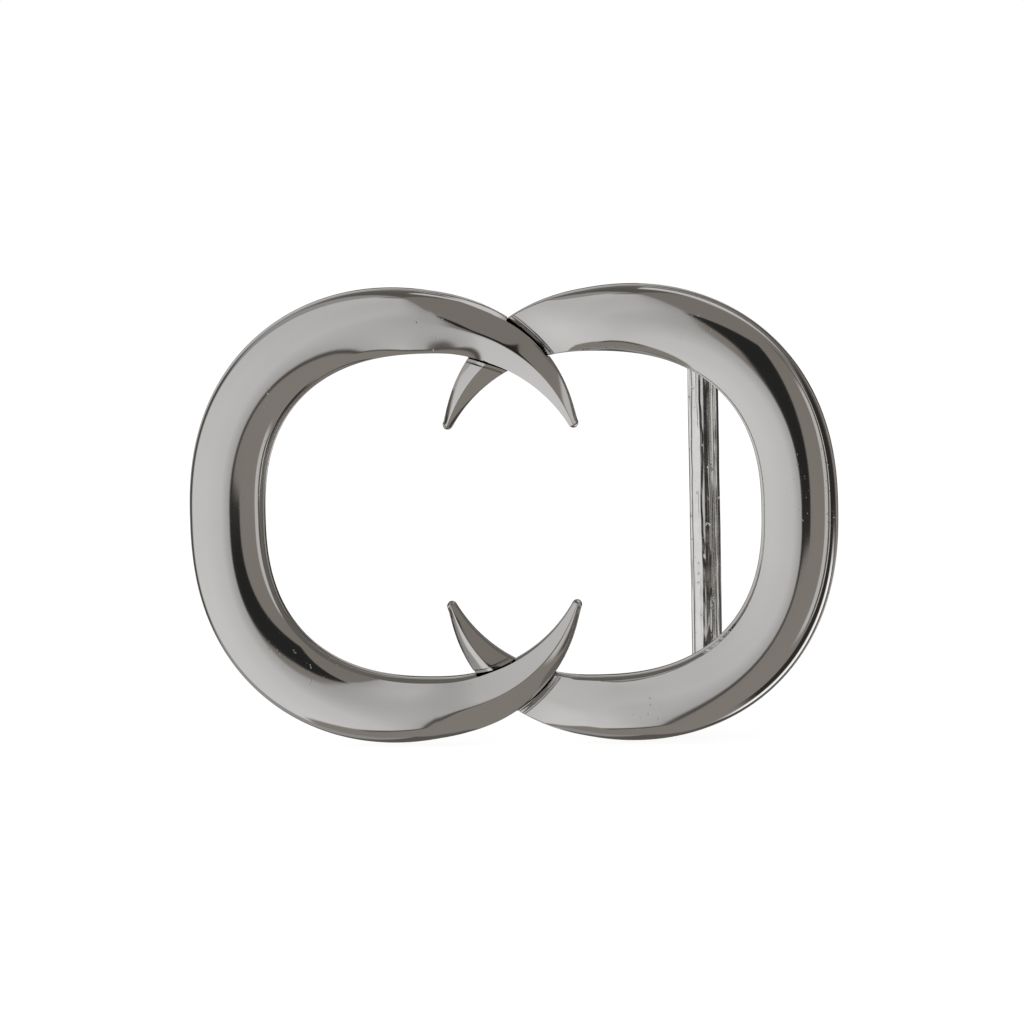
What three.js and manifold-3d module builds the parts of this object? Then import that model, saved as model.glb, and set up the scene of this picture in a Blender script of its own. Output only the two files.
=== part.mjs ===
// Belt buckle: two horned crescents, opening towards each other, lapped and riveted
// where they cross, with a swivelling strap bale and a belt stud behind them.
//
// Millimetres. +X is to the right of a person looking at the buckle, -Y is its front,
// +Z is up. The crescents' flat backs lie in one plane, and all depths are worked out
// from it: a height is measured from that plane towards the front, a reach towards the back.

import * as THREE from 'three';
import { mergeVertices } from 'three/addons/utils/BufferGeometryUtils.js';
import Module from 'manifold-3d';

const wasm = await Module();
wasm.setup();

// ---------------------------------------------------------------- driving dimensions

const crescent = {
  centreX: 8.3,             // from the buckle's middle to the middle of a crescent's opening
  openingHalfHeight: 17.5,
  backHalfWidth: 18.4,      // the half of the opening away from the horns
  backExponent: 2.46,       // 2 would be an ellipse
  hornHalfWidth: 16.95,     // the half between the horns
  hornExponent: 2.13,
  hornTipAngle: 31.7,       // degrees, where the opening's edge stops at a horn tip
  bodyWidth: 8.2,           // across the metal, opposite the horns
  tipWidth: 1.1,
  taperOnset: 3.8,          // higher keeps the width for longer
  taperRate: 1.22,          // higher thins the horns sooner
  wallHeight: 2.0,          // steep side walls
  tipWallHeight: 1.3,
  crownToWidth: 0.31,       // height of the domed face above the walls, over the width
  hornCrownToWidth: 0.42,
  wallDraft: 0.12,
  backChamfer: 0.2,
  crestExponent: 2.0,       // domed opposite the horns
  hornCrestExponent: 1.35,  // ridged on the horns
};

const lap = { height: 1.6, gap: 0.3, sideGap: 0.3, crossingZ: 18.2 };

const rivet = {
  shankRadius: 0.9, headRadius: 1.6, headThickness: 0.55, height: 2.5, clearance: 0.25,
};

const strap = { width: 35.0, play: 1.5, thickness: 3.0 };

const bale = {
  barX: 20.5, barRadius: 1.7, armThickness: 2.4, knuckleRadius: 1.75, barPlay: 0.5,
  barInset: 0.01,           // the bar is this much thinner than the arms' ends
  barRoot: 0.2,             // how far it runs into each arm
};

const hinge = {
  x: 13.5, reach: 2.25, pinRadius: 0.75, clearance: 0.3, sideGap: 0.3,
  pinInset: 0.1,            // a pin's ends lie this far inside the lug and the arm
};

const lug = { thickness: 2.4, width: 4.0, rootDepth: 0.8 };

const stud = {
  x: -31.0, tailRadius: 1.1, tailHeight: 2.2, collarRadius: 2.6, collarThickness: 0.6,
  shankRadius: 1.6, headRadius: 2.9, headReach: 4.3, headThickness: 1.5, clearance: 0.25,
  collarGap: 0.3,
  rimPart: 0.4,             // the head's straight rim, as a part of its thickness
  shoulderPart: 0.75,       // where its dome turns over, as a part of its radius
  shoulderDrop: 0.15,
  crownPart: 0.4,           // and where it is flat
};

const pathSteps = 72;      // stations along a crescent
const domeSteps = 10;      // facets across its face
const tipSteps = 3;        // stations round a horn's tip
const roundSides = 20;
const overcut = 1;         // how far a cutting shape runs past the metal

// ---------------------------------------------------------------- worked-out places

const baleHalfHeight = (strap.width + strap.play) / 2;
const armOuterZ = baleHalfHeight + bale.armThickness;
const lugInnerZ = armOuterZ + hinge.sideGap;
const barReach = strap.thickness + bale.barPlay + bale.barRadius;
const frontHeight = 4.6; // the crests' highest point, just past the middle of each crescent's back
const backReach = Math.max(barReach + bale.barRadius, stud.headReach + stud.headThickness);
const middleDepth = (backReach - frontHeight) / 2; // puts the origin at the middle of the depth

// ---------------------------------------------------------------- finishes

const finish = {
  polished: { color: 0x8f8d8a, roughness: 0.08, metalness: 1.0 },
  cast: { color: 0x77756f, roughness: 0.35, metalness: 1.0 },
  steel: { color: 0x9a9894, roughness: 0.25, metalness: 1.0 },
};

// ---------------------------------------------------------------- solids and meshes

function solidOf(geometry) {
  const bare = geometry.clone();
  bare.deleteAttribute('normal');
  bare.deleteAttribute('uv');
  const merged = mergeVertices(bare, 1e-4);
  return new wasm.Manifold(new wasm.Mesh({
    numProp: 3,
    vertProperties: Float32Array.from(merged.attributes.position.array),
    triVerts: Uint32Array.from(merged.index.array),
  }));
}

function geometryOf(solid) {
  const mesh = solid.getMesh();
  const geometry = new THREE.BufferGeometry();
  geometry.setAttribute('position', new THREE.BufferAttribute(mesh.vertProperties, 3));
  geometry.setIndex(new THREE.BufferAttribute(mesh.triVerts, 1));
  return geometry;
}

function named(name, solid, look) {
  const geometry = geometryOf(solid);
  geometry.computeVertexNormals();
  const mesh = new THREE.Mesh(geometry, new THREE.MeshStandardMaterial(look));
  mesh.name = name;
  return mesh;
}

// A turned piece: profile is [radius, depth] pairs from the axis back to the axis, along Y.
function turnedAlongY(profile, x, z) {
  const points = profile.map(([radius, y]) => new THREE.Vector2(radius, y));
  const geometry = new THREE.LatheGeometry(points, roundSides);
  geometry.translate(x, 0, z);
  return solidOf(geometry);
}

// A plain pin standing along Z between two heights.
function pinAlongZ(radius, x, y, lowZ, highZ) {
  const geometry = new THREE.CylinderGeometry(radius, radius, highZ - lowZ, roundSides);
  geometry.rotateX(Math.PI / 2);
  geometry.translate(x, y, (lowZ + highZ) / 2);
  return solidOf(geometry);
}

// An outline of [x, z] points, extruded through the depth from nearY to farY.
function plateAcross(outline, nearY, farY) {
  const shape = new THREE.Shape(outline.map(([x, z]) => new THREE.Vector2(x, z)));
  const geometry = new THREE.ExtrudeGeometry(shape, { depth: farY - nearY, bevelEnabled: false });
  geometry.rotateX(Math.PI / 2);
  geometry.translate(0, farY, 0);
  return solidOf(geometry);
}

// A shape of [x, y] points, extruded upwards from lowZ to highZ.
function plateUpright(shape, lowZ, highZ) {
  const geometry = new THREE.ExtrudeGeometry(shape, {
    depth: highZ - lowZ,
    bevelEnabled: false,
    curveSegments: roundSides / 2,
  });
  geometry.translate(0, 0, lowZ);
  return solidOf(geometry);
}

// ---------------------------------------------------------------- the crescent

// A point on the opening's edge, two half superellipses, at an angle from the horns' side.
function openingEdge(angle) {
  const c = Math.cos(angle);
  const s = Math.sin(angle);
  const halfWidth = c > 0 ? crescent.hornHalfWidth : crescent.backHalfWidth;
  const power = 2 / (c > 0 ? crescent.hornExponent : crescent.backExponent);
  return new THREE.Vector2(
    -crescent.centreX + halfWidth * Math.sign(c) * Math.abs(c) ** power,
    crescent.openingHalfHeight * Math.sign(s) * Math.abs(s) ** power,
  );
}

// Stations along the opening's edge, evenly spaced, from the upper horn tip to the lower one.
// along runs from -1 to 1, and outward points away from the opening.
function stationsAlongEdge() {
  const fineSteps = 2400;
  const start = THREE.MathUtils.degToRad(crescent.hornTipAngle);
  const sweep = 2 * (Math.PI - start);
  const fine = [];
  const lengths = [0];
  for (let i = 0; i <= fineSteps; i += 1) {
    fine.push(openingEdge(start + (sweep * i) / fineSteps));
    if (i > 0) lengths.push(lengths[i - 1] + fine[i].distanceTo(fine[i - 1]));
  }
  const total = lengths[fineSteps];
  const stations = [];
  let k = 1;
  for (let i = 0; i <= pathSteps; i += 1) {
    const wanted = (total * i) / pathSteps;
    while (k < fineSteps && lengths[k] < wanted) k += 1;
    const part = (wanted - lengths[k - 1]) / (lengths[k] - lengths[k - 1]);
    const point = fine[k - 1].clone().lerp(fine[k], part);
    const tangent = fine[k].clone().sub(fine[k - 1]).normalize();
    const outward = new THREE.Vector2(tangent.y, -tangent.x);
    stations.push({ point, tangent, outward, along: (2 * i) / pathSteps - 1 });
  }
  return stations;
}

function widthAt(along) {
  const { bodyWidth, tipWidth, taperOnset, taperRate } = crescent;
  return tipWidth + (bodyWidth - tipWidth) * (1 - Math.abs(along) ** taperOnset) ** taperRate;
}

// The section as [across, height] pairs: across is 0 in the middle and positive outwards.
function sectionAt(along, shrink = 1) {
  const width = widthAt(along) * shrink;
  const half = width / 2;
  const hornness = Math.abs(along) ** 2;
  const wall = THREE.MathUtils.lerp(crescent.wallHeight, crescent.tipWallHeight, hornness ** 2);
  const exponent = THREE.MathUtils.lerp(crescent.crestExponent, crescent.hornCrestExponent, hornness);
  const crown = width * THREE.MathUtils.lerp(crescent.crownToWidth, crescent.hornCrownToWidth, hornness);
  const chamfer = Math.min(crescent.backChamfer, half / 3);
  const shoulder = half - Math.min(crescent.wallDraft, half / 4);
  const loop = [[half - chamfer, 0], [half, chamfer]];
  for (let i = 0; i <= domeSteps; i += 1) {
    const across = Math.cos((Math.PI * i) / domeSteps);
    const rise = (1 - Math.abs(across) ** exponent) ** (1 / exponent);
    loop.push([shoulder * across, wall + crown * rise]);
  }
  loop.push([-half, chamfer], [-half + chamfer, 0]);
  return loop;
}

// The whole crescent, opening to the right, as rows of section points closed at both tips.
function crescentBlank() {
  const stations = stationsAlongEdge();
  const rows = [];
  const addRow = (station, ahead, shrink) => {
    const half = widthAt(station.along) / 2;
    rows.push(sectionAt(station.along, shrink).map(([across, height]) => [
      station.point.x + station.outward.x * (half + across) + station.tangent.x * ahead,
      -height,
      station.point.y + station.outward.y * (half + across) + station.tangent.y * ahead,
    ]));
  };
  const tipRadius = crescent.tipWidth / 2;
  const first = stations[0];
  const last = stations[pathSteps];
  for (let i = tipSteps; i > 0; i -= 1) {
    const turn = (Math.PI / 2) * (i / (tipSteps + 0.5));
    addRow(first, -tipRadius * Math.sin(turn), Math.cos(turn));
  }
  stations.forEach((station) => addRow(station, 0, 1));
  for (let i = 1; i <= tipSteps; i += 1) {
    const turn = (Math.PI / 2) * (i / (tipSteps + 0.5));
    addRow(last, tipRadius * Math.sin(turn), Math.cos(turn));
  }
  return closedLoft(rows);
}

// A closed solid through rows of points, each row one loop, with a fan over each end.
function closedLoft(rows) {
  const loop = rows[0].length;
  const positions = rows.flat(2);
  const index = [];
  for (let r = 0; r + 1 < rows.length; r += 1) {
    for (let j = 0; j < loop; j += 1) {
      const a = r * loop + j;
      const b = r * loop + ((j + 1) % loop);
      index.push(a, a + loop, b, b, a + loop, b + loop);
    }
  }
  [0, rows.length - 1].forEach((r) => {
    const middle = positions.length / 3;
    const sum = rows[r].reduce((m, p) => [m[0] + p[0], m[1] + p[1], m[2] + p[2]], [0, 0, 0]);
    positions.push(...sum.map((v) => v / loop));
    for (let j = 0; j < loop; j += 1) {
      const a = r * loop + j;
      const b = r * loop + ((j + 1) % loop);
      if (r === 0) index.push(middle, a, b);
      else index.push(middle, b, a);
    }
  });
  const geometry = new THREE.BufferGeometry();
  geometry.setAttribute('position', new THREE.BufferAttribute(new Float32Array(positions), 3));
  geometry.setIndex(index);
  return solidOf(geometry);
}

// The crescent's outline seen from the front, grown all round by margin.
function crescentFootprint(margin) {
  const stations = stationsAlongEdge();
  const last = stations.length - 1;
  const place = (station, across, ahead) => [
    station.point.x + station.outward.x * across + station.tangent.x * ahead,
    station.point.y + station.outward.y * across + station.tangent.y * ahead,
  ];
  const aheadOf = (i) => {
    if (i === 0) return -margin - crescent.tipWidth / 2;
    return i === last ? margin + crescent.tipWidth / 2 : 0;
  };
  const outer = stations.map((s, i) => place(s, widthAt(s.along) + margin, aheadOf(i)));
  const inner = stations.map((s, i) => place(s, -margin, aheadOf(i)));
  return outer.concat(inner.reverse());
}

const turnRound = (outline) => outline.map(([x, z]) => [-x, -z]);

function rivetHole(z) {
  const { shankRadius, headRadius, headThickness, height, clearance } = rivet;
  return turnedAlongY([
    [0, -height - clearance],
    [shankRadius + clearance, -height - clearance],
    [shankRadius + clearance, -headThickness - clearance],
    [headRadius + clearance, -headThickness - clearance],
    [headRadius + clearance, overcut],
    [0, overcut],
  ], 0, z);
}

function lugBlock(side) {
  const halfWidth = lug.width / 2;
  const shape = new THREE.Shape();
  shape.moveTo(hinge.x - halfWidth, -lug.rootDepth);
  shape.lineTo(hinge.x + halfWidth, -lug.rootDepth);
  shape.lineTo(hinge.x + halfWidth, hinge.reach);
  shape.absarc(hinge.x, hinge.reach, halfWidth, 0, Math.PI, false);
  shape.lineTo(hinge.x - halfWidth, -lug.rootDepth);
  const low = side > 0 ? lugInnerZ : -lugInnerZ - lug.thickness;
  const block = plateUpright(shape, low, low + lug.thickness);
  const hole = pinAlongZ(hinge.pinRadius + hinge.clearance, hinge.x, hinge.reach,
    low - overcut, low + lug.thickness + overcut);
  return block.subtract(hole);
}

function leftCrescent() {
  const lapRoof = -(lap.height + lap.gap / 2);
  const notch = plateAcross(turnRound(crescentFootprint(lap.sideGap)), lapRoof, overcut);
  const studHole = turnedAlongY([
    [0, -stud.tailHeight - stud.clearance],
    [stud.tailRadius + stud.clearance, -stud.tailHeight - stud.clearance],
    [stud.tailRadius + stud.clearance, overcut],
    [0, overcut],
  ], stud.x, 0);
  return crescentBlank()
    .subtract(notch)
    .subtract(rivetHole(lap.crossingZ))
    .subtract(rivetHole(-lap.crossingZ))
    .subtract(studHole);
}

function rightCrescent() {
  const lapFloor = -(lap.height - lap.gap / 2);
  const notch = plateAcross(crescentFootprint(lap.sideGap), -frontHeight - overcut, lapFloor);
  return crescentBlank()
    .rotate([0, 180, 0])
    .subtract(notch)
    .subtract(rivetHole(lap.crossingZ))
    .subtract(rivetHole(-lap.crossingZ))
    .add(lugBlock(1))
    .add(lugBlock(-1));
}

// ---------------------------------------------------------------- fastenings

function crossingRivet(z) {
  const { shankRadius, headRadius, headThickness, height } = rivet;
  return turnedAlongY([
    [0, -height],
    [shankRadius, -height],
    [shankRadius, -headThickness],
    [headRadius, -headThickness],
    [headRadius, 0],
    [0, 0],
  ], 0, z);
}

function hingePin(side) {
  const inner = baleHalfHeight + hinge.pinInset;
  const outer = lugInnerZ + lug.thickness - hinge.pinInset;
  const low = side > 0 ? inner : -outer;
  return pinAlongZ(hinge.pinRadius, hinge.x, hinge.reach, low, low + outer - inner);
}

function beltStud() {
  const headBack = stud.headReach + stud.headThickness;
  return turnedAlongY([
    [0, -stud.tailHeight],
    [stud.tailRadius, -stud.tailHeight],
    [stud.tailRadius, stud.collarGap],
    [stud.collarRadius, stud.collarGap],
    [stud.collarRadius, stud.collarGap + stud.collarThickness],
    [stud.shankRadius, stud.collarGap + stud.collarThickness],
    [stud.shankRadius, stud.headReach],
    [stud.headRadius, stud.headReach],
    [stud.headRadius, stud.headReach + stud.headThickness * stud.rimPart],
    [stud.headRadius * stud.shoulderPart, headBack - stud.shoulderDrop],
    [stud.headRadius * stud.crownPart, headBack],
    [0, headBack],
  ], stud.x, 0);
}

// ---------------------------------------------------------------- the strap bale

// One arm, seen from above: a knuckle round the hinge, running out and back to the bar.
function baleArm(side) {
  const shape = new THREE.Shape();
  const tilt = Math.atan2(barReach - hinge.reach, bale.barX - hinge.x);
  const across = tilt + Math.PI / 2;
  const barEnd = bale.barRadius;
  shape.absarc(hinge.x, hinge.reach, bale.knuckleRadius, across, across + Math.PI, false);
  shape.absarc(bale.barX, barReach, barEnd, across + Math.PI, across + 2 * Math.PI, false);
  shape.closePath();
  const low = side > 0 ? baleHalfHeight : -armOuterZ;
  const hole = pinAlongZ(hinge.pinRadius + hinge.clearance, hinge.x, hinge.reach,
    low - overcut, low + bale.armThickness + overcut);
  return plateUpright(shape, low, low + bale.armThickness).subtract(hole);
}

function strapBale() {
  const barHalf = baleHalfHeight + bale.barRoot;
  const bar = pinAlongZ(bale.barRadius - bale.barInset, bale.barX, barReach, -barHalf, barHalf);
  return baleArm(1).add(baleArm(-1)).add(bar);
}

// ---------------------------------------------------------------- the assembly

const buckle = new THREE.Group();
buckle.position.y = -middleDepth;
buckle.add(
  named('left_crescent', leftCrescent(), finish.polished),
  named('right_crescent', rightCrescent(), finish.polished),
  named('upper_crossing_rivet', crossingRivet(lap.crossingZ), finish.steel),
  named('lower_crossing_rivet', crossingRivet(-lap.crossingZ), finish.steel),
  named('upper_hinge_pin', hingePin(1), finish.steel),
  named('lower_hinge_pin', hingePin(-1), finish.steel),
  named('strap_bale', strapBale(), finish.cast),
  named('belt_stud', beltStud(), finish.polished),
);

export default buckle;
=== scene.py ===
import math

import bpy
import numpy as np
from mathutils import Matrix, Vector


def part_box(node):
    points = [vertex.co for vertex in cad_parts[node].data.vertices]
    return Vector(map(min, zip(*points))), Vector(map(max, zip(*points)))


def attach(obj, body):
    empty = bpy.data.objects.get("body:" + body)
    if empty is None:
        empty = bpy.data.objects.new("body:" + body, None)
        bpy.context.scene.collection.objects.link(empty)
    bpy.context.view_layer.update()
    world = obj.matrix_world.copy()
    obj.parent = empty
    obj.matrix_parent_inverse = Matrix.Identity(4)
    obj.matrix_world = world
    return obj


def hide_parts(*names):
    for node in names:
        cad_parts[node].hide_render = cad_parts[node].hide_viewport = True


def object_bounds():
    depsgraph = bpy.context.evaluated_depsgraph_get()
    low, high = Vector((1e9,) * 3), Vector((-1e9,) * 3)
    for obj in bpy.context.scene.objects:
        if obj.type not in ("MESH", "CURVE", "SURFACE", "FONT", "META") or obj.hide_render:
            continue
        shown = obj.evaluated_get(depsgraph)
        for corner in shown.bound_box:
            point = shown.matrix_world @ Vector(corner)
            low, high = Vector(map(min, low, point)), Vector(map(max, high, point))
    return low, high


# A polished gunmetal belt buckle: two horned crescents lapped where they cross, with a
# cast strap bale hinged behind the right one and a belt stud behind the left one.
#
# Sizes below are millimetres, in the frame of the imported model: +X to the right, -Y to
# the front, +Z up. A height is measured from the crescents' flat backs towards the front.

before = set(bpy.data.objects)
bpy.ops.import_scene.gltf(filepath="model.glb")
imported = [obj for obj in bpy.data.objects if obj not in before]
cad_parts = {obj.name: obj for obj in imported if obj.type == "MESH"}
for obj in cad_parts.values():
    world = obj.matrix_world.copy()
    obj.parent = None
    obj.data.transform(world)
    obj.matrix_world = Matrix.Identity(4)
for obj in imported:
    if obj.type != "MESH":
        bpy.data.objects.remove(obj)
cad_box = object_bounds()

MM = 0.001


def middle_and_half(node):
    """The middle of a CAD node's box and half its size, both in millimetres."""
    low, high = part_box(node)
    return (low + high) / 2 / MM, (high - low) / 2 / MM


# ---------------------------------------------------------------- places from the frame

BACK_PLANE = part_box("left_crescent")[1].y / MM
CROSSING_Z = middle_and_half("upper_crossing_rivet")[0].z
RIVET_RADIUS = middle_and_half("upper_crossing_rivet")[1].x
PIN_MIDDLE, _ = middle_and_half("upper_hinge_pin")
BALE_MIDDLE, BALE_HALF = middle_and_half("strap_bale")
STUD_MIDDLE, STUD_HALF = middle_and_half("belt_stud")
LOWEST_Z = cad_box[0][2] / MM

BAR_RADIUS = 1.7
BAR_X = BALE_MIDDLE.x + BALE_HALF.x - BAR_RADIUS
BAR_Y = BALE_MIDDLE.y + BALE_HALF.y - BAR_RADIUS

# ---------------------------------------------------------------- driving dimensions

CENTRE_X = 8.3              # from the buckle's middle to the middle of a crescent's opening
OPENING_HALF_HEIGHT = 17.5
BACK_HALF_WIDTH = 18.4
BACK_EXPONENT = 2.46
HORN_HALF_WIDTH = 16.95
HORN_EXPONENT = 2.13
HORN_TIP_ANGLE = math.radians(31.7)
BODY_WIDTH = 8.2
TIP_WIDTH = 1.1
TAPER_ONSET = 3.8
TAPER_RATE = 1.22

WALL_HEIGHT = 2.0
TIP_WALL_HEIGHT = 1.1
NOSE_HEIGHT = 0.5           # what is left of the height at the very end of a horn
CROWN_TO_WIDTH = 0.31
HORN_CROWN_TO_WIDTH = 0.40
CREST_EXPONENT = 2.0
HORN_CREST_EXPONENT = 1.08
INNER_CUT = 1.13            # the domed face runs on past the inner wall by this factor
HORN_INNER_CUT = 1.50
HORN_OUTER_CUT = 1.17
ROLLED_CUT = 1.01           # the right one's face rolls over by its horns' roots
BEVEL_WIDTH = 0.27          # a light bevel on the upper outer edge before the crossing

LIP_HEIGHT = 0.62           # a narrow base lip runs all round each casting
LIP_INSET = 0.17
HORN_LIP_INSET = 0.05
DRAFT = 0.10                # how far the walls lean in
HORN_DRAFT = 0.05

LAP_FLOOR = 1.15            # the right crescent's cut face under the left one
LAP_ROOF = 1.40             # the left crescent's cut face over the right one
LAP_MARGIN = 0.05           # how far both cuts run past the other crescent's outline
GROOVE_FLOOR = 1.84         # the groove beside the lap, up to its raised rim
GROOVE_FOOT = 0.10
GROOVE_WIDTH = 0.56
FLATTENING = 0.86           # how much of the dome is lost beside the groove
FLATTENING_LENGTH = 3.4
RIM_HEIGHT = 0.13
RIM_WIDTH = 0.11
LEDGE_DEPTH = 0.35          # the strip beside a claw's root, below the claw's face
LEDGE_WIDTH = 0.42
MOUND_X = 3.4               # the face swells towards the groove's inner corner
MOUND_HEIGHT = 0.26
MOUND_LENGTH = 2.3
FACET_WIDTH = 0.12

# Stations along a crescent run from -1 at the upper tip, by 0 opposite the horns, to 1 at
# the lower tip. A pair is where a change starts and where it is done, either side of 0.
INNER_FACE_TURNS = (0.42, 0.74)     # the inner face steepens towards the horn
CREST_SHARPENS = (0.57, 0.76)       # the dome turns into the horn's ridge
HORN_STARTS = (0.66, 0.77)          # lip, draft and outer face become the horn's
ROLL_AT, ROLL_SPREAD = 0.6, 0.12    # where the right one's face rolls over
BEVEL_AT, BEVEL_SPREAD = -0.73, 0.055
PLAIN_HORN = 0.78                   # a station past all those changes

# A pair of heights here is where a cut's shape fades in, so that it spares the walls.
MOUND_FADES = (1.8, 2.6)
RIM_FADES = (1.6, 2.4)
LEDGE_FADES = (1.2, 2.0)
MOUND_SPREAD = 2.2          # how far the mound reaches up and down from a crossing
RIM_OFFSET = 0.05           # the rim's middle past the groove's edge
BODY_BLEND = 0.4            # rows lean gradually over this much before the groove
CLAW_BLEND = 0.6            # and over this much after a claw's root

# ---------------------------------------------------------------- small array helpers


def lerp(low, high, part):
    return low + (high - low) * part


def ease(value, low, high):
    """0 up to low, 1 from high on, and a smooth S between."""
    part = np.clip((value - low) / (high - low), 0, 1)
    return part * part * (3 - 2 * part)


def bump_at(value, middle, half_width):
    """A bell of height 1 round middle."""
    return np.exp(-(((value - middle) / half_width) ** 2))


def hashed(cells, seed):
    """A repeatable pseudo-random number from -1 to 1 for each whole number."""
    wave = np.sin(cells * 12.9898 + seed * 78.233) * 43758.5453
    return 2 * (wave - np.floor(wave)) - 1


def wander(value, size, seed):
    """Smooth one-dimensional noise from -1 to 1: hashed numbers a step apart, eased between."""
    cell = np.floor(value / size)
    part = value / size - cell
    part = part * part * (3 - 2 * part)
    return lerp(hashed(cell, seed), hashed(cell + 1, seed), part)


# ---------------------------------------------------------------- meshes from grids


def put_mesh(name, corners, quads, triangles=()):
    """A mesh object at the origin from corner places in millimetres and faces."""
    faces = [tuple(f) for f in quads.tolist()] + [tuple(f) for f in triangles]
    mesh = bpy.data.meshes.new(name)
    mesh.from_pydata((corners * MM).tolist(), [], faces)
    mesh.polygons.foreach_set("use_smooth", [True] * len(faces))
    mesh.update()
    piece = bpy.data.objects.new(name, mesh)
    bpy.context.scene.collection.objects.link(piece)
    return piece


def skin(name, rows, ride_on="buckle", sharp=math.radians(38)):
    """A closed surface through rows of closed loops.

    rows is an array of rows by loop points by 3. Each loop closes on itself, and a fan
    to its mean point closes each end.
    """
    count, loop, _ = rows.shape
    number = np.arange(count * loop).reshape(count, loop)
    after = np.roll(number, -1, axis=1)
    quads = np.stack([number[:-1], number[1:], after[1:], after[:-1]], axis=-1).reshape(-1, 4)
    ends = rows[[0, -1]].mean(axis=1)
    corners = np.concatenate([rows.reshape(-1, 3), ends])
    first, last = count * loop, count * loop + 1
    fans = [(first, a, b) for a, b in zip(number[0], after[0])]
    fans += [(last, b, a) for a, b in zip(number[-1], after[-1])]
    fans = [tuple(int(v) for v in f) for f in fans]
    if signed_volume(corners, quads) < 0:
        quads = quads[:, ::-1]
        fans = [f[::-1] for f in fans]
    piece = put_mesh(name, corners, quads, fans)
    piece.data.set_sharp_from_angle(angle=sharp)
    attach(piece, ride_on)
    return piece


def signed_volume(corners, quads):
    """Six times the volume inside the quads, positive when they face outwards."""
    a, b, c, d = (corners[quads[:, k]] for k in range(4))
    return float((a * np.cross(b, c)).sum() + (a * np.cross(c, d)).sum())


# ---------------------------------------------------------------- the crescents' path


def opening_edge(angle):
    """The opening's edge: two half superellipses, one between the horns, one at the back."""
    c, s = np.cos(angle), np.sin(angle)
    horn_side = c > 0
    half_width = np.where(horn_side, HORN_HALF_WIDTH, BACK_HALF_WIDTH)
    power = 2 / np.where(horn_side, HORN_EXPONENT, BACK_EXPONENT)
    x = -CENTRE_X + half_width * np.sign(c) * np.abs(c) ** power
    z = OPENING_HALF_HEIGHT * np.sign(s) * np.abs(s) ** power
    return x, z


def edge_table(steps):
    """Along (-1 at the upper tip, 1 at the lower), place and unit tangent, by arc length."""
    angle = np.linspace(HORN_TIP_ANGLE, 2 * math.pi - HORN_TIP_ANGLE, steps)
    x, z = opening_edge(angle)
    run = np.concatenate([[0], np.cumsum(np.hypot(np.diff(x), np.diff(z)))])
    even = np.linspace(0, run[-1], steps)
    x, z = np.interp(even, run, x), np.interp(even, run, z)
    smooth = np.ones(9) / 9     # the tangent is a mean over nine steps
    dx, dz = np.gradient(x), np.gradient(z)
    dx[4:-4], dz[4:-4] = np.convolve(dx, smooth, "valid"), np.convolve(dz, smooth, "valid")
    size = np.hypot(dx, dz)
    return 2 * even / run[-1] - 1, x, z, dx / size, dz / size, run[-1]


TABLE = edge_table(3000)
EDGE_LENGTH = TABLE[5]


def station(along):
    """Edge place, tangent and outward direction where along lies between the tips."""
    x, z, tx, tz = (np.interp(along, TABLE[0], column) for column in TABLE[1:5])
    return x, z, tx, tz, tz, -tx


def width_at(along):
    """The metal's width: full at the middle, falling as (1 - |along|^onset)^rate."""
    taper = (1 - np.abs(along) ** TAPER_ONSET) ** TAPER_RATE
    return TIP_WIDTH + (BODY_WIDTH - TIP_WIDTH) * taper


def offsets_from_crescent(x, z):
    """How far places lie outside the left crescent's outline.

    Gives how far they are past its outer edge, and how far inside its opening, measured
    square to the opening's edge at its nearest point. Both are negative on the metal.
    """
    along, ex, ez, tx, tz = (column[::4] for column in TABLE[:5])
    nearest = np.concatenate([
        ((px[:, None] - ex) ** 2 + (pz[:, None] - ez) ** 2).argmin(axis=1)
        for px, pz in zip(np.array_split(x.ravel(), 40), np.array_split(z.ravel(), 40))
    ]).reshape(x.shape)
    out = (x - ex[nearest]) * tz[nearest] - (z - ez[nearest]) * tx[nearest]
    run = (x - ex[nearest]) * tx[nearest] + (z - ez[nearest]) * tz[nearest]
    at = np.clip(along[nearest] + 2 * run / EDGE_LENGTH, -1, 1)
    return out - width_at(at), -out


# ---------------------------------------------------------------- the crescents' section

WALL_STEPS = 6
FACE_STEPS = 56
BACK_STEPS = 14

# The lip's outline from the back up: inset and height, as parts of the lip's own.
LIP_INWARD = np.array([1.2, 0.35, 0.0, 0.0, 0.08, 0.35, 0.82, 1.0])
LIP_UPWARD = np.array([0.0, 0.05, 0.22, 0.62, 0.84, 0.97, 1.0, 1.06])
LIP_SHARE = 0.3             # the most of the half width that a lip takes
DRAFT_SHARE = 0.35          # the most of it that a wall leans in


def section_columns():
    """The loop round a section, as (kind, side, steps) with side 1 outside and -1 inside.

    It starts at the back's outer corner, goes up the outer lip and wall, over the domed
    face, down the inner wall and lip, and back over the flat back.
    """
    lip = np.linspace(0, 1, len(LIP_INWARD))
    wall = np.linspace(0, 1, WALL_STEPS)
    face = np.linspace(0, 1, FACE_STEPS)
    back = np.linspace(0, 1, BACK_STEPS + 2)
    return [
        ("lip", 1, lip), ("wall", 1, wall[:-1]), ("face", 0, face),
        ("wall", -1, wall[::-1][1:]), ("lip", -1, lip[::-1]), ("back", 0, back[1:-1]),
    ]


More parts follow.
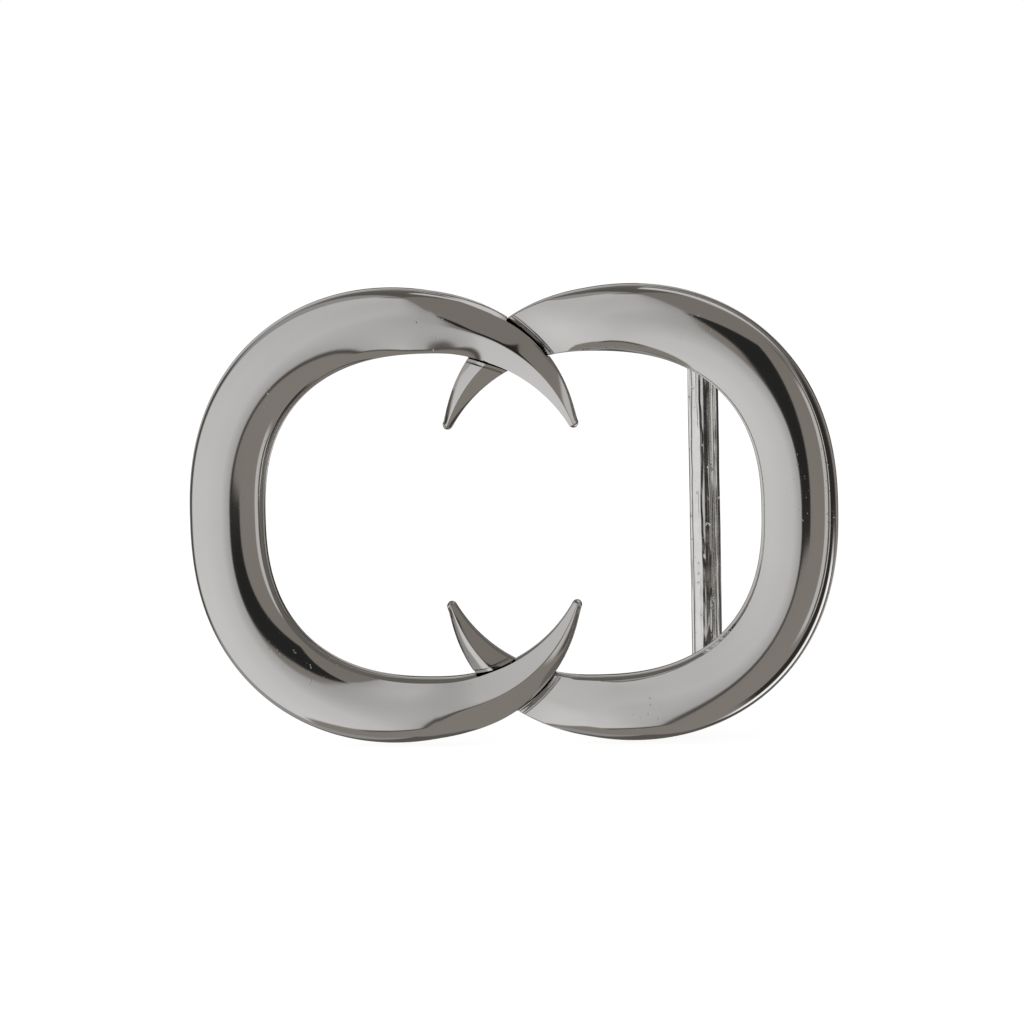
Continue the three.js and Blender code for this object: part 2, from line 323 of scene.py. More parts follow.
def section(along, shrink, round_inside):
    """Across and height of each loop point at each station.

    Across is 0 in the middle and positive outwards. The face is half a superellipse
    standing on two walls: height = wall + crown (1 - |u|^p)^(1/p). On the inner side u
    stops short of 1, so the face meets a taller wall at a crisp edge.
    """
    width = width_at(along) * shrink
    half = width / 2
    far = np.abs(along)
    hornness = along**2
    wall = lerp(WALL_HEIGHT, TIP_WALL_HEIGHT, hornness**4)
    power = lerp(CREST_EXPONENT, HORN_CREST_EXPONENT, ease(far, *CREST_SHARPENS))
    crown = width * lerp(CROWN_TO_WIDTH, HORN_CROWN_TO_WIDTH, hornness)
    horn = ease(far, *HORN_STARTS)
    inset = np.minimum(lerp(LIP_INSET, HORN_LIP_INSET, horn), half * LIP_SHARE)
    draft = lerp(DRAFT, HORN_DRAFT, horn)
    bevel = BEVEL_WIDTH * bump_at(along, BEVEL_AT, BEVEL_SPREAD)
    inner_draft = np.minimum(draft, half * DRAFT_SHARE)
    outer_draft = np.minimum(draft + bevel, half * DRAFT_SHARE)
    roll = round_inside * bump_at(far, ROLL_AT, ROLL_SPREAD)
    body_cut = INNER_CUT - roll * (INNER_CUT - ROLLED_CUT)
    horn_cut = lerp(HORN_INNER_CUT, HORN_OUTER_CUT, round_inside)
    inner_cut = lerp(body_cut, horn_cut, ease(far, *INNER_FACE_TURNS))
    outer_cut = lerp(1.0, HORN_OUTER_CUT, horn)
    inner_wall = wall + crown * (1 - inner_cut**-power) ** (1 / power)
    outer_wall = wall + crown * (1 - outer_cut**-power) ** (1 / power)
    across, height = [], []
    for kind, side, part in section_columns():
        shape = (len(half), len(part))
        if kind == "lip":
            inward = LIP_INWARD[::side]
            upward = LIP_UPWARD[::side]
            across.append(side * (half[:, None] - inset[:, None] * inward))
            height.append(np.broadcast_to(LIP_HEIGHT * upward, shape))
        elif kind == "wall":
            lean = outer_draft if side > 0 else inner_draft
            top = outer_wall if side > 0 else inner_wall
            across.append(side * ((half - inset)[:, None] - lean[:, None] * part))
            height.append(lerp(LIP_HEIGHT * LIP_UPWARD[-1], top[:, None], part))
        elif kind == "face":
            u = np.cos(math.pi * part)[None, :]
            lean = np.where(u > 0, outer_draft[:, None], inner_draft[:, None])
            across.append(u * ((half - inset)[:, None] - lean))
            u = u / np.where(u > 0, outer_cut[:, None], inner_cut[:, None])
            rise = (1 - np.abs(u) ** power[:, None]) ** (1 / power[:, None])
            height.append(wall[:, None] + crown[:, None] * rise)
        else:
            across.append((half - inset * LIP_INWARD[0])[:, None] * lerp(-1, 1, part))
            height.append(np.zeros(shape))
    return np.concatenate(across, axis=1), np.concatenate(height, axis=1)


def column_fractions():
    """Where each loop column lies across the width, from -1 inside to 1 outside."""
    across, _ = section(np.array([PLAIN_HORN]), np.array([1.0]), 0)
    return across[0] / (width_at(PLAIN_HORN) / 2)


# ---------------------------------------------------------------- rows along a crescent


def places(along, fraction):
    """Left crescent's places, fraction of the half width across, at stations along."""
    x, z, _, _, ox, oz = station(along)
    reach = width_at(along) / 2 * (1 + fraction)
    return x + ox * reach, z + oz * reach


SEARCHED = (0.35, 0.995, 900)   # first and last station and how many, looking for a cut
PAST_CROSSING = 0.7             # stations beyond this can lie in the other's opening
NOT_THERE = -9.0


def crossing_alongs(fraction, outside, inside):
    """Where each column comes within some distances of the other crescent's outline.

    outside lists distances past its outer edge on the way in, inside lists distances into
    its opening on the way out. Gives one array over the columns for each distance.
    """
    along = np.linspace(*SEARCHED)[:, None] + 0 * fraction[None, :]
    x, z = places(along, fraction[None, :] + 0 * along)
    past_outer, in_opening = offsets_from_crescent(-x, -z)
    columns = np.arange(len(fraction))

    def reached(values, level):
        """The first place where values have risen past level."""
        k = np.maximum((values > level).argmax(axis=0), 1)
        low, high = values[k - 1, columns], values[k, columns]
        part = np.clip((level - low) / (high - low), 0, 1)
        return lerp(along[k - 1, columns], along[k, columns], part)

    beyond = np.where(along > PAST_CROSSING, in_opening, NOT_THERE)
    return [reached(-past_outer, -d) for d in outside], [reached(beyond, d) for d in inside]


HAIR = 0.0010               # the part of a half crescent between the two rows at a cut edge
LAST_BLENDED = 0.975        # no row still leans past this station
LAP_STRETCH = 5             # which stretch of rows, counted from 0, lies in the lap
TIP_STEPS = 12
TIP_CLOSES = 0.985          # the part of a quarter turn that the rounded tip goes through


def half_rows(fraction):
    """Stations from the middle of a crescent to its tip, one set for each column, and
    which rows lie in the lap.

    Rows run square across the body, and lean until they follow the other crescent's
    outline where it crosses, so that every cut edge falls on a row.
    """
    (blend, rim, foot, cut_in), (cut_out, ledge, facet, claw) = crossing_alongs(
        fraction, [GROOVE_WIDTH + BODY_BLEND, GROOVE_WIDTH, GROOVE_FOOT, LAP_MARGIN],
        [LAP_MARGIN, LEDGE_WIDTH, LEDGE_WIDTH + FACET_WIDTH, LEDGE_WIDTH + CLAW_BLEND])
    claw = np.minimum(claw, LAST_BLENDED)
    # Where each stretch of rows starts, and how many rows it has.
    stretches = [
        (0 * fraction, 150), (blend, 12), (rim, 8), (foot, 6), (cut_in - HAIR, 1),
        (cut_in + HAIR, 26), (cut_out - HAIR, 1), (cut_out + HAIR, 8), (ledge, 6),
        (facet, 8), (claw, 44), (0 * fraction + 1, 0),
    ]
    rows, lapped = [], []
    for index, ((start, steps), (end, _)) in enumerate(zip(stretches[:-1], stretches[1:])):
        rows.extend(lerp(start, end, k / steps) for k in range(steps))
        first_after = index == LAP_STRETCH + 1
        lapped.extend([index == LAP_STRETCH or (first_after and k == 0) for k in range(steps)])
    return np.array(rows + [stretches[-1][0]]), np.array(lapped + [False])


def crescent_rows(cut, round_inside):
    """The left crescent's surface as rows of loop points, before it is cut or turned.

    Place = edge + outwards (half the width + across) + forwards round the tip, and height
    from the section. cut(x, z, height, lapped) gives the heights after the lap is cut.
    round_inside is 1 where the face rolls over onto the inner wall near the horns, and 0
    where it is crisp.
    """
    fraction = column_fractions()
    half, lapped = half_rows(fraction)
    along = np.concatenate([-half[:0:-1], half])
    turn = np.linspace(0, math.pi / 2 * TIP_CLOSES, TIP_STEPS + 1)[1:]
    tip = np.ones((TIP_STEPS, len(fraction)))
    along = np.concatenate([-tip, along, tip])
    in_tip = np.zeros(TIP_STEPS, bool)
    lapped = np.concatenate([in_tip, lapped[:0:-1], lapped, in_tip])
    between = np.ones(2 * len(half) - 1)
    shrink = np.concatenate([np.cos(turn)[::-1], between, np.cos(turn)])
    ahead = np.concatenate([-np.sin(turn)[::-1], 0 * between, np.sin(turn)])
    across = np.empty_like(along)
    height = np.empty_like(along)
    for j in range(len(fraction)):
        all_across, all_height = section(along[:, j], shrink, round_inside)
        across[:, j], height[:, j] = all_across[:, j], all_height[:, j]
    height = height * lerp(NOSE_HEIGHT, 1, shrink)[:, None]
    x, z, tx, tz, ox, oz = station(along)
    reach = width_at(along) / 2 + across
    forward = (ahead * TIP_WIDTH / 2)[:, None]
    x = x + ox * reach + tx * forward
    z = z + oz * reach + tz * forward
    height = cut(x, z, height, lapped[:, None])
    return np.stack([x, BACK_PLANE - height, z], axis=-1)


def cut_back(x, z, height, lapped):
    """Raises the back to the lap's roof over the other crescent."""
    return np.where(lapped, np.maximum(height, LAP_ROOF), height)


def cut_front(x, z, height, lapped):
    """Lowers the front to the lap's floor under the other crescent.

    A groove and raised rim lie on the body's side, and a ledge and steep facet on the
    claw's side. Each is a function of the distance from the other crescent's outline.
    """
    past_outer, in_opening = offsets_from_crescent(-x, -z)
    mound = bump_at(x, -MOUND_X, MOUND_LENGTH) * bump_at(np.abs(z), CROSSING_Z, MOUND_SPREAD)
    height = height + MOUND_HEIGHT * mound * ease(height, *MOUND_FADES)
    flat = FLATTENING * bump_at(past_outer, 0, FLATTENING_LENGTH)
    height = height - flat * np.maximum(height - WALL_HEIGHT, 0)
    slope = np.clip((past_outer - GROOVE_FOOT) / (GROOVE_WIDTH - GROOVE_FOOT), 0, 1)
    rim = RIM_HEIGHT * bump_at(past_outer, GROOVE_WIDTH + RIM_OFFSET, RIM_WIDTH)
    body = lerp(np.minimum(height, GROOVE_FLOOR), height, slope)
    body = body + rim * ease(height, *RIM_FADES)
    facet = np.clip((in_opening - LEDGE_WIDTH) / FACET_WIDTH, 0, 1)
    claw = np.maximum(height - LEDGE_DEPTH * (1 - facet) * ease(height, *LEDGE_FADES), 0)
    open_face = np.where(past_outer > in_opening, body, claw)
    return np.where(lapped, np.minimum(height, LAP_FLOOR), open_face)


def turned_half_round(rows):
    return rows * np.array([-1, 1, -1])


def make_left_crescent():
    piece = skin("left_crescent_casting", crescent_rows(cut_back, 0))
    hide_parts("left_crescent")
    return piece


def make_right_crescent():
    piece = skin("right_crescent_casting", turned_half_round(crescent_rows(cut_front, 1)))
    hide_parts("right_crescent")
    return piece


# ---------------------------------------------------------------- turned and cast small parts


TURNED_SIDES = 64


def turned(name, profile, x, z, ride_on="buckle"):
    """A turned piece along Y: profile is (radius, y) pairs from the axis to the axis."""
    profile = np.array(profile)
    angle = np.linspace(0, 2 * math.pi, TURNED_SIDES, endpoint=False)
    radius, y = profile[1:-1, 0], profile[1:-1, 1]
    rows = np.stack([
        x + radius[:, None] * np.cos(angle),
        y[:, None] + 0 * angle,
        z + radius[:, None] * np.sin(angle),
    ], axis=-1)
    return skin(name, rows, ride_on, sharp=math.radians(50))


ARM_THICKNESS = 2.4
ARM_EYE_RADIUS = 1.75
ARM_EDGE = 0.35
BAR_ROOT = 1.2              # how far short of the arms' outer faces the bar ends
BAR_CORE = BAR_RADIUS - 0.09
BAR_STRANDS = 11
STRAND_RISE = 0.075
STRAND_SPREAD = 0.11        # half the strand's width, as an angle
BAR_FILLET = 0.09
FILLET_LENGTH = 0.45
BURIED_RADIUS = BAR_RADIUS - 0.3
BURIED_BY = 0.35            # the bar has thinned this far inside an arm


def make_bar():
    """The strap bar: a rod along Z, left as cast, with eleven raised strands down it.

    Radius = core + a bell round each strand's wandering angle + a slight waviness + a
    fillet that dies away from each arm. Inside the arms the rod is thinner.
    """
    half_length = BALE_HALF.z - BAR_ROOT
    z = np.linspace(-half_length, half_length, 420)
    angle = np.linspace(0, 2 * math.pi, 192, endpoint=False)
    zz, aa = np.meshgrid(z, angle, indexing="ij")
    radius = BAR_CORE + 0 * zz
    for strand in range(BAR_STRANDS):
        place = 2 * math.pi * (strand + 0.2 * hashed(strand * 1.0, 4)) / BAR_STRANDS
        place = place + 0.05 * wander(zz, 6.0, strand) + 0.02 * wander(zz, 1.3, strand + 30)
        away = (aa - place + math.pi) % (2 * math.pi) - math.pi
        rise = STRAND_RISE + 0.025 * wander(zz, 4.0, strand + 9)
        radius = radius + rise * bump_at(away, 0, STRAND_SPREAD)
    radius += 0.012 * wander(zz, 2.1, 3)
    arm_face = BALE_HALF.z - ARM_THICKNESS
    from_arm = np.maximum(arm_face - np.abs(zz), 0)
    radius += BAR_FILLET * np.exp(-from_arm / FILLET_LENGTH)
    buried = ease(np.abs(zz), arm_face, arm_face + BURIED_BY)
    radius = lerp(radius, BURIED_RADIUS, buried)
    rows = np.stack([BAR_X + radius * np.cos(aa), BAR_Y + radius * np.sin(aa), zz], axis=-1)
    return skin("strap_bar", rows, "bale")


def rounded_slab(name, outline, low_z, high_z, edge, ride_on):
    """A flat plate along Z: an XY outline whose rim is rolled over by a quarter circle."""
    turn = np.linspace(0, math.pi / 2, 6)
    ahead = np.roll(outline, -1, axis=0) - np.roll(outline, 1, axis=0)
    inward = np.stack([-ahead[:, 1], ahead[:, 0]], axis=1)
    inward /= np.hypot(inward[:, 0], inward[:, 1])[:, None]
    insets = np.concatenate([edge * (1 - np.cos(turn[::-1])), edge * (1 - np.cos(turn))])
    levels = np.concatenate([
        low_z + edge * (1 - np.sin(turn[::-1])), high_z - edge * (1 - np.sin(turn)),
    ])
    flat = outline[None, :, :] + inward[None, :, :] * insets[:, None, None]
    up = np.broadcast_to(levels[:, None, None], flat.shape[:2] + (1,))
    return skin(name, np.concatenate([flat, up], axis=2), ride_on)


def capsule(x0, y0, r0, x1, y1, r1):
    """The outline round two circles, as points in order."""
    tilt = math.atan2(y1 - y0, x1 - x0)
    first = np.linspace(tilt + math.pi / 2, tilt + 3 * math.pi / 2, 28)
    second = np.linspace(tilt - math.pi / 2, tilt + math.pi / 2, 28)
    return np.concatenate([
        np.stack([x0 + r0 * np.cos(first), y0 + r0 * np.sin(first)], axis=1),
        np.stack([x1 + r1 * np.cos(second), y1 + r1 * np.sin(second)], axis=1),
    ])


def make_bale():
    outline = capsule(PIN_MIDDLE.x, PIN_MIDDLE.y, ARM_EYE_RADIUS, BAR_X, BAR_Y, BAR_RADIUS)
    low, high = BALE_HALF.z - ARM_THICKNESS, BALE_HALF.z
    upper = rounded_slab("upper_bale_arm", outline, low, high, ARM_EDGE, "bale")
    lower = rounded_slab("lower_bale_arm", outline, -high, -low, ARM_EDGE, "bale")
    bar = make_bar()
    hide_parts("strap_bale")
    return [bar, upper, lower]


LUG_RADIUS = 2.0
LUG_THICKNESS = 2.4
LUG_EDGE = 0.3
LUG_ROOT = 0.7              # how deep the lugs are rooted in the metal
HINGE_GAP = 0.3             # between an arm and its lug


def make_lugs():
    """The hinge lugs cast on the right crescent's back."""
    outline = capsule(PIN_MIDDLE.x, BACK_PLANE - LUG_ROOT, LUG_RADIUS,
                      PIN_MIDDLE.x, PIN_MIDDLE.y, LUG_RADIUS)
    inner = BALE_HALF.z + HINGE_GAP
    made = []
    for name, side in [("upper_hinge_lug", 1), ("lower_hinge_lug", -1)]:
        low, high = sorted([side * inner, side * (inner + LUG_THICKNESS)])
        made.append(rounded_slab(name, outline, low, high, LUG_EDGE, "buckle"))
    return made


# A pin's head: radius, and distance outwards from the plain pin's own outer end.
PIN_HEAD = np.array([
    [0.75, -0.1], [1.15, -0.05], [1.12, 0.12], [0.85, 0.24], [0.45, 0.30],
])


def make_pins():
    """Hinge pins, each with its outer end peened over into a low dome."""
    made = []
    for node in ["upper_hinge_pin", "lower_hinge_pin"]:
        middle, half = middle_and_half(node)
        side = math.copysign(1, middle.z)
        outer = abs(middle.z) + half.z
        shank_end = [[PIN_HEAD[0, 0], -2 * half.z]]
        radius, level = np.concatenate([shank_end, PIN_HEAD]).T[:, :, None]
        angle = np.linspace(0, 2 * math.pi, 48, endpoint=False)
        rows = np.stack([
            middle.x + radius * np.cos(angle),
            middle.y + radius * np.sin(angle),
            side * (outer + level + 0 * angle),
        ], axis=-1)
        piece = skin(node + "_peened", rows)
        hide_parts(node)
        made.append(piece)
    return made


RIVET_RISE = 0.32           # how far a rivet's dome stands proud of the back
RIVET_HEAD_DEPTH = 0.5
RIVET_SHANK_RADIUS = 0.9
RIVET_DEPTH = 2.4


def make_rivets():
    """Crossing rivets: low domed heads standing just proud of the flat back.

    The dome rises as the square root of 1 - 0.92 r^2, r being the part of the radius.
    """
    made = []
    for node in ["upper_crossing_rivet", "lower_crossing_rivet"]:
        middle, _ = middle_and_half(node)
        dome = [(RIVET_RADIUS * r, BACK_PLANE + RIVET_RISE * math.sqrt(1 - 0.92 * r * r))
                for r in np.linspace(0.02, 1, 14)]
        under_head, end = BACK_PLANE - RIVET_HEAD_DEPTH, BACK_PLANE - RIVET_DEPTH
        shank = [(RIVET_RADIUS, under_head), (RIVET_SHANK_RADIUS, under_head),
                 (RIVET_SHANK_RADIUS, end), (0.1, end)]
        profile = [(0, 0), *dome, *shank, (0, 0)]
        piece = turned(node + "_headed", profile, middle.x, middle.z)
        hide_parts(node)
        made.append(piece)
    return made


STUD_TAIL = (1.1, 0.6)      # radius and depth in the crescent's back
STUD_COLLAR = (2.6, 0.6)    # radius and height
COLLAR_EDGE = 0.15
STUD_NECK = 1.6
STUD_HEAD_RADIUS = 2.9
STUD_HEAD_HEIGHT = 1.5
HEAD_RIM = 0.5              # the upright part of the head, below its dome


def make_stud():
    """The belt stud: collar on the back, waisted shank, and a domed mushroom head.

    The shank's radius is the neck + 0.9 (1 - s)^3 + 0.5 s^6, s from collar to head.
    """
    head_low = STUD_MIDDLE.y + STUD_HALF.y - STUD_HEAD_HEIGHT
    tail_radius, tail_depth = STUD_TAIL
    collar_radius, collar_height = STUD_COLLAR
    top = BACK_PLANE + collar_height
    foot = BACK_PLANE - 0.02
    tail = [(0.3, BACK_PLANE - tail_depth), (tail_radius, BACK_PLANE - tail_depth),
            (tail_radius, foot)]
    collar = [(collar_radius - COLLAR_EDGE, foot), (collar_radius, BACK_PLANE + 0.12),
              (collar_radius, top - COLLAR_EDGE), (collar_radius - COLLAR_EDGE, top)]
    shank = [(STUD_NECK + 0.9 * (1 - s) ** 3 + 0.5 * s**6, lerp(top, head_low, s))
             for s in np.linspace(0, 1, 16)]
    rim = [(STUD_HEAD_RADIUS - 0.12, head_low), (STUD_HEAD_RADIUS, head_low + 0.15),
           (STUD_HEAD_RADIUS, head_low + HEAD_RIM)]
    dome_rise = STUD_HEAD_HEIGHT - HEAD_RIM
    dome = [(STUD_HEAD_RADIUS * math.cos(a), head_low + HEAD_RIM + dome_rise * math.sin(a))
            for a in np.linspace(0.06, 1.54, 14)]
    profile = [(0, 0), *tail, *collar, *shank, *rim, *dome, (0, 0)]
    piece = turned("belt_stud_turned", profile, STUD_MIDDLE.x, STUD_MIDDLE.z)
    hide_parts("belt_stud")
    return piece


# ---------------------------------------------------------------- shader language


class Wire:
    """An output socket. Arithmetic on it adds Math nodes."""

    def __init__(self, tree, socket):
        self.tree = tree
        self.socket = socket

    def maths(self, operation, *values):
        inputs = dict(enumerate(values))
        return self.tree.node("ShaderNodeMath", {"operation": operation}, inputs)

    def __add__(self, other):
        return self.maths("ADD", self, other)

    def __sub__(self, other):
        return self.maths("SUBTRACT", self, other)

    def __mul__(self, other):
        return self.maths("MULTIPLY", self, other)

    def __rsub__(self, other):
        return self.maths("SUBTRACT", other, self)

    def __neg__(self):
        return self.maths("MULTIPLY", self, -1.0)

    __radd__ = __add__
    __rmul__ = __mul__


class Tree:
    """A node tree being written."""

    def __init__(self, tree):
        self.tree = tree
        tree.nodes.clear()

    def node(self, kind, settings=None, inputs=None, output=0):
        """Adds a node: its settings first, then the values or links of its sockets."""
        made = self.tree.nodes.new(kind)
        for name, value in (settings or {}).items():
            setattr(made, name, value)
        for name, value in (inputs or {}).items():
            if isinstance(value, Wire):
                self.tree.links.new(value.socket, made.inputs[name])
            else:
                made.inputs[name].default_value = value
        return Wire(self, made.outputs[output]) if made.outputs else None

    def smooth(self, value, low, high):
        """0 up to low, 1 from high on."""
        settings = {"interpolation_type": "SMOOTHSTEP"}
        return self.node("ShaderNodeMapRange", settings, {0: value, 1: low, 2: high})

    def mix(self, factor, first, second):
        """The first colour where factor is 0, the second where it is 1."""
        inputs = {0: factor, 6: first, 7: second}
        return self.node("ShaderNodeMix", {"data_type": "RGBA"}, inputs, 2)

    def noise(self, where, scale, detail):
        """Noise round 0.5; scale is in features to the metre."""
        inputs = {"Vector": where, "Scale": scale, "Detail": detail}
        return self.node("ShaderNodeTexNoise", None, inputs)

    def lifted(self, height, strength, depth):
        """The normal over a bump, depth being in metres."""
        inputs = {"Strength": strength, "Distance": depth, "Height": height}
        return self.node("ShaderNodeBump", None, inputs)

    def pitted(self, height, strength, depth, normal):
        """The normal over pits sunk into a surface that has a normal already."""
        inputs = {"Strength": strength, "Distance": depth, "Height": height, "Normal": normal}
        return self.node("ShaderNodeBump", {"invert": True}, inputs)


# ---------------------------------------------------------------- finishes


def new_material(name):
    material = bpy.data.materials.new(name)
    material.use_nodes = True
    return material, Tree(material.node_tree)


def grey(level, tint=(1.0, 1.0, 1.0)):
    """A colour of a given level, tinted."""
    return (level * tint[0], level * tint[1], level * tint[2], 1.0)


def finish_with(tree, base, roughness, normal):
    """A metal surface from its colour, roughness and normal."""
    inputs = {"Base Color": base, "Metallic": 1.0, "Roughness": roughness, "Normal": normal}
    shader = tree.node("ShaderNodeBsdfPrincipled", None, inputs)
    tree.node("ShaderNodeOutputMaterial", None, {"Surface": shader})


GUNMETAL = (0.560, 0.548, 0.535)
PALE_GUNMETAL = ((0.58, 0.57, 0.56, 1), (0.76, 0.75, 0.74, 1))     # darkest and lightest
STEEL = ((0.44, 0.43, 0.42, 1), (0.56, 0.55, 0.54, 1))


def polished_gunmetal():
    """Buffed black-nickel plate: faint waviness, a few cast pits and softer, cloudy areas."""
    material, tree = new_material("polished_gunmetal")
    where = tree.node("ShaderNodeTexCoord", output=3)
    cloud = tree.noise(where, 160.0, 3.0)
    speck = tree.smooth(tree.noise(where, 2600.0, 1.0), 0.70, 0.80)
    patch = tree.smooth(tree.noise(where, 90.0, 1.0), 0.56, 0.66)
    base = tree.mix(cloud, grey(0.93, GUNMETAL), grey(1.0, GUNMETAL))
    roughness = 0.055 + cloud * 0.05 + speck * patch * 0.15
    waves = tree.lifted(tree.noise(where, 210.0, 2.0), 0.25, 0.00002)
    pits = tree.pitted(speck * patch, 0.6, 0.00003, waves)
    finish_with(tree, base, roughness, pits)
    return material


def cast_gunmetal():
    """Plate over an unpolished casting: pitted, uneven, a little duller."""
    material, tree = new_material("cast_gunmetal")
    where = tree.node("ShaderNodeTexCoord", output=3)
    grain = tree.noise(where, 900.0, 2.0)
    pitting = tree.smooth(tree.noise(where, 1300.0, 2.0), 0.66, 0.74)
    base = tree.mix(grain, *PALE_GUNMETAL)
    roughness = 0.07 + grain * 0.08 + pitting * 0.2
    pits = tree.pitted(pitting, 0.8, 0.00008, tree.lifted(grain, 0.3, 0.00002))
    finish_with(tree, base, roughness, pits)
    return material


def rivet_steel():
    """Turned steel with a fine grain and a light plate."""
    material, tree = new_material("turned_steel")
    where = tree.node("ShaderNodeTexCoord", output=3)
    grain = tree.noise(where, 3000.0, 3.0)
    base = tree.mix(grain, *STEEL)
    finish_with(tree, base, 0.18 + grain * 0.12, tree.lifted(grain, 0.3, 0.00002))
    return material


def pale_floor():
    """A white sheet that keeps its white under the soft light, with faint contact shade."""
    material, tree = new_material("pale_floor")
    diffuse = tree.node("ShaderNodeBsdfDiffuse", None, {"Color": (0.3, 0.3, 0.3, 1)})
    glow = tree.node("ShaderNodeEmission", None, {"Color": (1, 1, 1, 1), "Strength": 0.90})
    both = tree.node("ShaderNodeAddShader", None, {0: diffuse, 1: glow})
    tree.node("ShaderNodeOutputMaterial", None, {"Surface": both})
    return material


def give(pieces, material):
    for piece in pieces:
        piece.data.materials.clear()
        piece.data.materials.append(material)


# ---------------------------------------------------------------- camera, floor and light

CAMERA_AZIMUTH = math.radians(4.0)
CAMERA_ELEVATION = math.radians(7.0)
CAMERA_DISTANCE = 0.45
CAMERA_ROLL = math.radians(1.3)
CAMERA_FOCAL = 146.8
CAMERA_AIM = Vector((-0.00015, 0.0, 0.0001))
SENSOR_WIDTH = 36.0
FLOOR_HALF = 4.0
FLOOR_DROP = 0.0001         # the sheet lies this far under the buckle's lowest point


def make_camera():
    data = bpy.data.cameras.new("camera")
    data.lens = CAMERA_FOCAL
    data.sensor_width = SENSOR_WIDTH
    data.clip_start, data.clip_end = 0.01, 20.0
    camera = bpy.data.objects.new("camera", data)
    bpy.context.scene.collection.objects.link(camera)
    level = math.cos(CAMERA_ELEVATION)
    away = Vector((
        math.sin(CAMERA_AZIMUTH) * level, -math.cos(CAMERA_AZIMUTH) * level,
        math.sin(CAMERA_ELEVATION),
    ))
    facing = (-away).to_track_quat("-Z", "Y").to_matrix()
    turn = facing @ Matrix.Rotation(-CAMERA_ROLL, 3, "Z")
    stand = Matrix.Translation(CAMERA_AIM + away * CAMERA_DISTANCE)
    camera.matrix_world = stand @ turn.to_4x4()
    bpy.context.scene.camera = camera


def make_floor():
    level = LOWEST_Z * MM - FLOOR_DROP
    signs = [(-1, -1), (1, -1), (1, 1), (-1, 1)]
    corners = [(FLOOR_HALF * x, FLOOR_HALF * y, level) for x, y in signs]
    mesh = bpy.data.meshes.new("floor")
    mesh.from_pydata(corners, [], [(0, 1, 2, 3)])
    floor = bpy.data.objects.new("floor", mesh)
    floor.data.materials.append(pale_floor())
    floor.visible_glossy = False
    bpy.context.scene.collection.objects.link(floor)


# Light levels, 1 being the white of the sheet.
WARM = (1.0, 0.93, 0.85)
ROOM_LOW, ROOM_HIGH = 0.36, 0.30
SCREEN_LOW, SCREEN_HIGH = 1.00, 0.80
WEDGE = 0.03
DOORWAY = 0.045
BORDER = 0.11


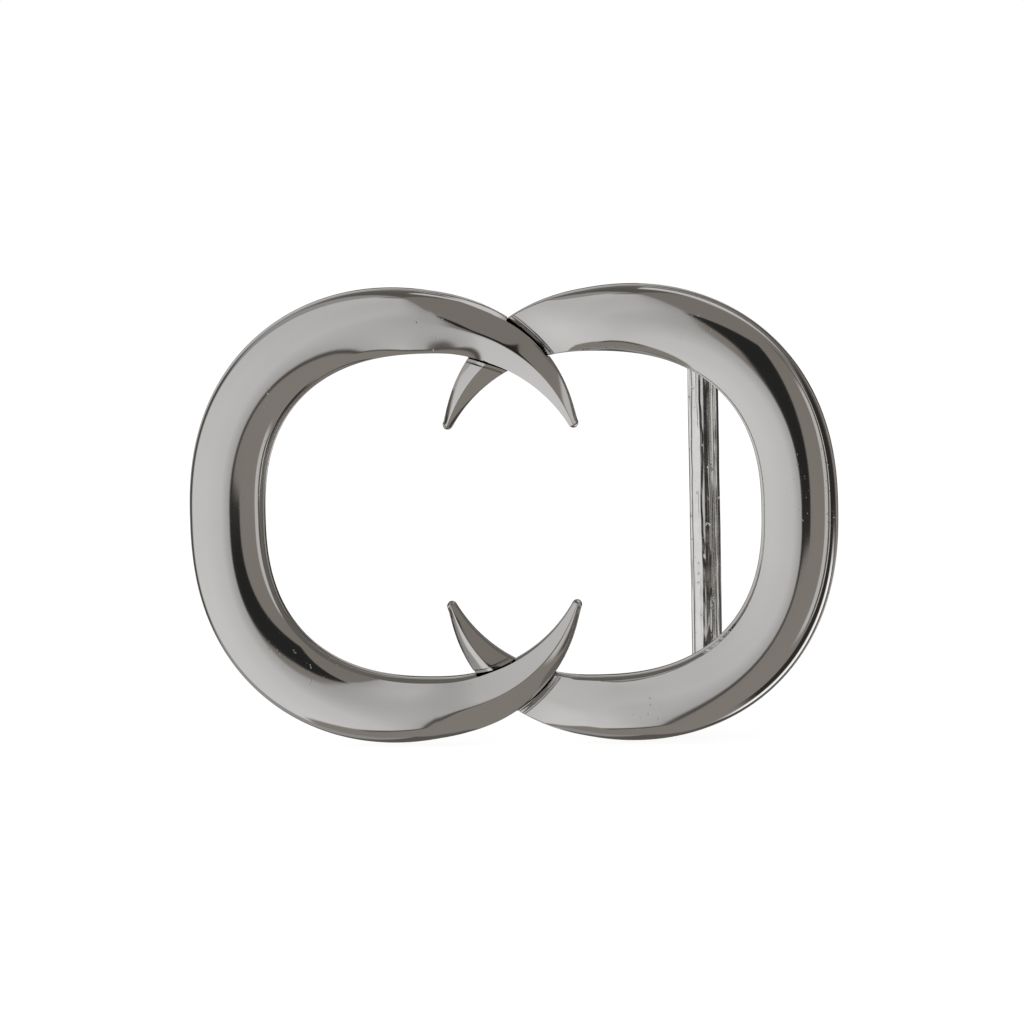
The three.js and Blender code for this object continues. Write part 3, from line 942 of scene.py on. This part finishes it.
def make_studio_light():
    """A soft studio all round, worked out from direction alone.

    A big pale screen fills the left. To the right is a dim warm room with a window strip
    and a dark doorway, a dark wedge stands round the camera, and behind and below lies a
    white sheet. Azimuth is 0 in front of the buckle and positive to its right; it and
    height are in degrees. A later patch covers an earlier one.
    """
    world = bpy.data.worlds.new("studio")
    world.use_nodes = True
    bpy.context.scene.world = world
    tree = Tree(world.node_tree)
    ray = tree.node("ShaderNodeTexCoord", output=0)
    x, y, z = (tree.node("ShaderNodeSeparateXYZ", None, {0: ray}, k) for k in range(3))
    azimuth = x.maths("ARCTAN2", x, -y) * (180 / math.pi)
    height = z.maths("ARCSINE", z) * (180 / math.pi)
    slanted = azimuth - height * 0.45

    def from_on(value, edge, soft):
        """0 before an edge and 1 after it."""
        return tree.smooth(value, edge - soft, edge + soft)

    def band(value, low, high, soft=1.5):
        """1 between low and high."""
        return from_on(value, low, soft) * (1 - from_on(value, high, soft))

    # The room behind and to the right.
    room = tree.mix(tree.smooth(height, -40, 60), grey(ROOM_LOW, WARM), grey(ROOM_HIGH, WARM))
    far_left = 1 - tree.smooth(azimuth, -122, -112)
    room = tree.mix(far_left, room, grey(0.45))
    cabinet = band(azimuth, -150, -120, 3) * band(height, -24, 24, 5)
    room = tree.mix(cabinet, room, grey(0.10))
    doorway = band(slanted, 96, 400, 2) * band(height, -62, 22, 5)
    room = tree.mix(doorway, room, grey(DOORWAY, WARM))
    window = band(slanted, 68.5, 83) * band(height, -33, 25, 4)
    room = tree.mix(window, room, grey(0.80, (1, 0.99, 0.98)))
    frame_edge = band(slanted, 84, 91, 0.8) * band(height, -30, 40, 4)
    room = tree.mix(frame_edge, room, grey(0.13, WARM))
    reveal = band(slanted, 92, 95.5, 0.8) * band(height, -30, 30, 4)
    room = tree.mix(reveal, room, grey(1.05, (1, 0.97, 0.92)))
    behind = tree.smooth(azimuth.maths("ABSOLUTE", azimuth), 150, 164)
    room = tree.mix(behind, room, grey(0.16, WARM))
    skylight = tree.smooth(azimuth, 136, 148) * band(height, 20, 52, 5)
    room = tree.mix(skylight, room, grey(0.85))
    sheet = band(azimuth, 116, 143, 6) * band(height, -62, -12, 6)
    room = tree.mix(sheet, room, grey(1.6))

    # The screen on the left, with a dark border at its right edge and its foot. It
    # darkens towards its right edge.
    screen_right = 4 + tree.smooth(height, 0, 45) * 10
    screen_foot = tree.smooth(azimuth, -35, 4) * 8 - 62
    past_edge = azimuth - screen_right
    above_foot = height - screen_foot
    screen = tree.smooth(azimuth, -120, -108) * (1 - from_on(past_edge, 0, 1.2))
    screen = screen * from_on(above_foot, 0, 1.5) * (1 - tree.smooth(height, 81, 86))
    border = band(azimuth, 3.5, 8.0, 0.7) * band(height, -56, -7, 1.5)
    border = border + band(azimuth, -30, 5, 6) * band(above_foot, -4, 0, 1)
    room = tree.mix(border, room, grey(BORDER, WARM))
    pale = tree.mix(tree.smooth(height, -35, 60), grey(SCREEN_LOW), grey(SCREEN_HIGH))
    falloff = tree.smooth(past_edge, -60, -4) * 0.10 + tree.smooth(past_edge, -17, 0) * 0.24
    pale = tree.mix(falloff, pale, grey(0.0))
    room = tree.mix(screen, room, pale)

    # The dark wedge, wider the higher it is.
    wedge_left = 4 + tree.smooth(height, -8, 15) * 9
    wedge_right = height * 0.66 + 28
    wedge = from_on(azimuth - wedge_left, 0, 1) * (1 - from_on(azimuth - wedge_right, 0, 1))
    wedge = wedge * band(height, -8.8, 38, 0.6)
    room = tree.mix(wedge, room, grey(WEDGE))

    seen = tree.node("ShaderNodeLightPath", output=0)
    shown = tree.mix(seen, room, grey(1.0))
    surface = tree.node("ShaderNodeBackground", None, {"Color": shown, "Strength": 1.0})
    tree.node("ShaderNodeOutputWorld", None, {"Surface": surface})


# ---------------------------------------------------------------- the buckle

make_camera()
make_floor()
make_studio_light()

polished = polished_gunmetal()
cast = cast_gunmetal()
steel = rivet_steel()

give([make_left_crescent(), make_right_crescent(), make_stud(), *make_lugs()],
     polished)
give(make_bale(), cast)
give([*make_pins(), *make_rivets()], steel)

bpy.context.scene.view_settings.view_transform = "Standard"

bpy.context.view_layer.update()
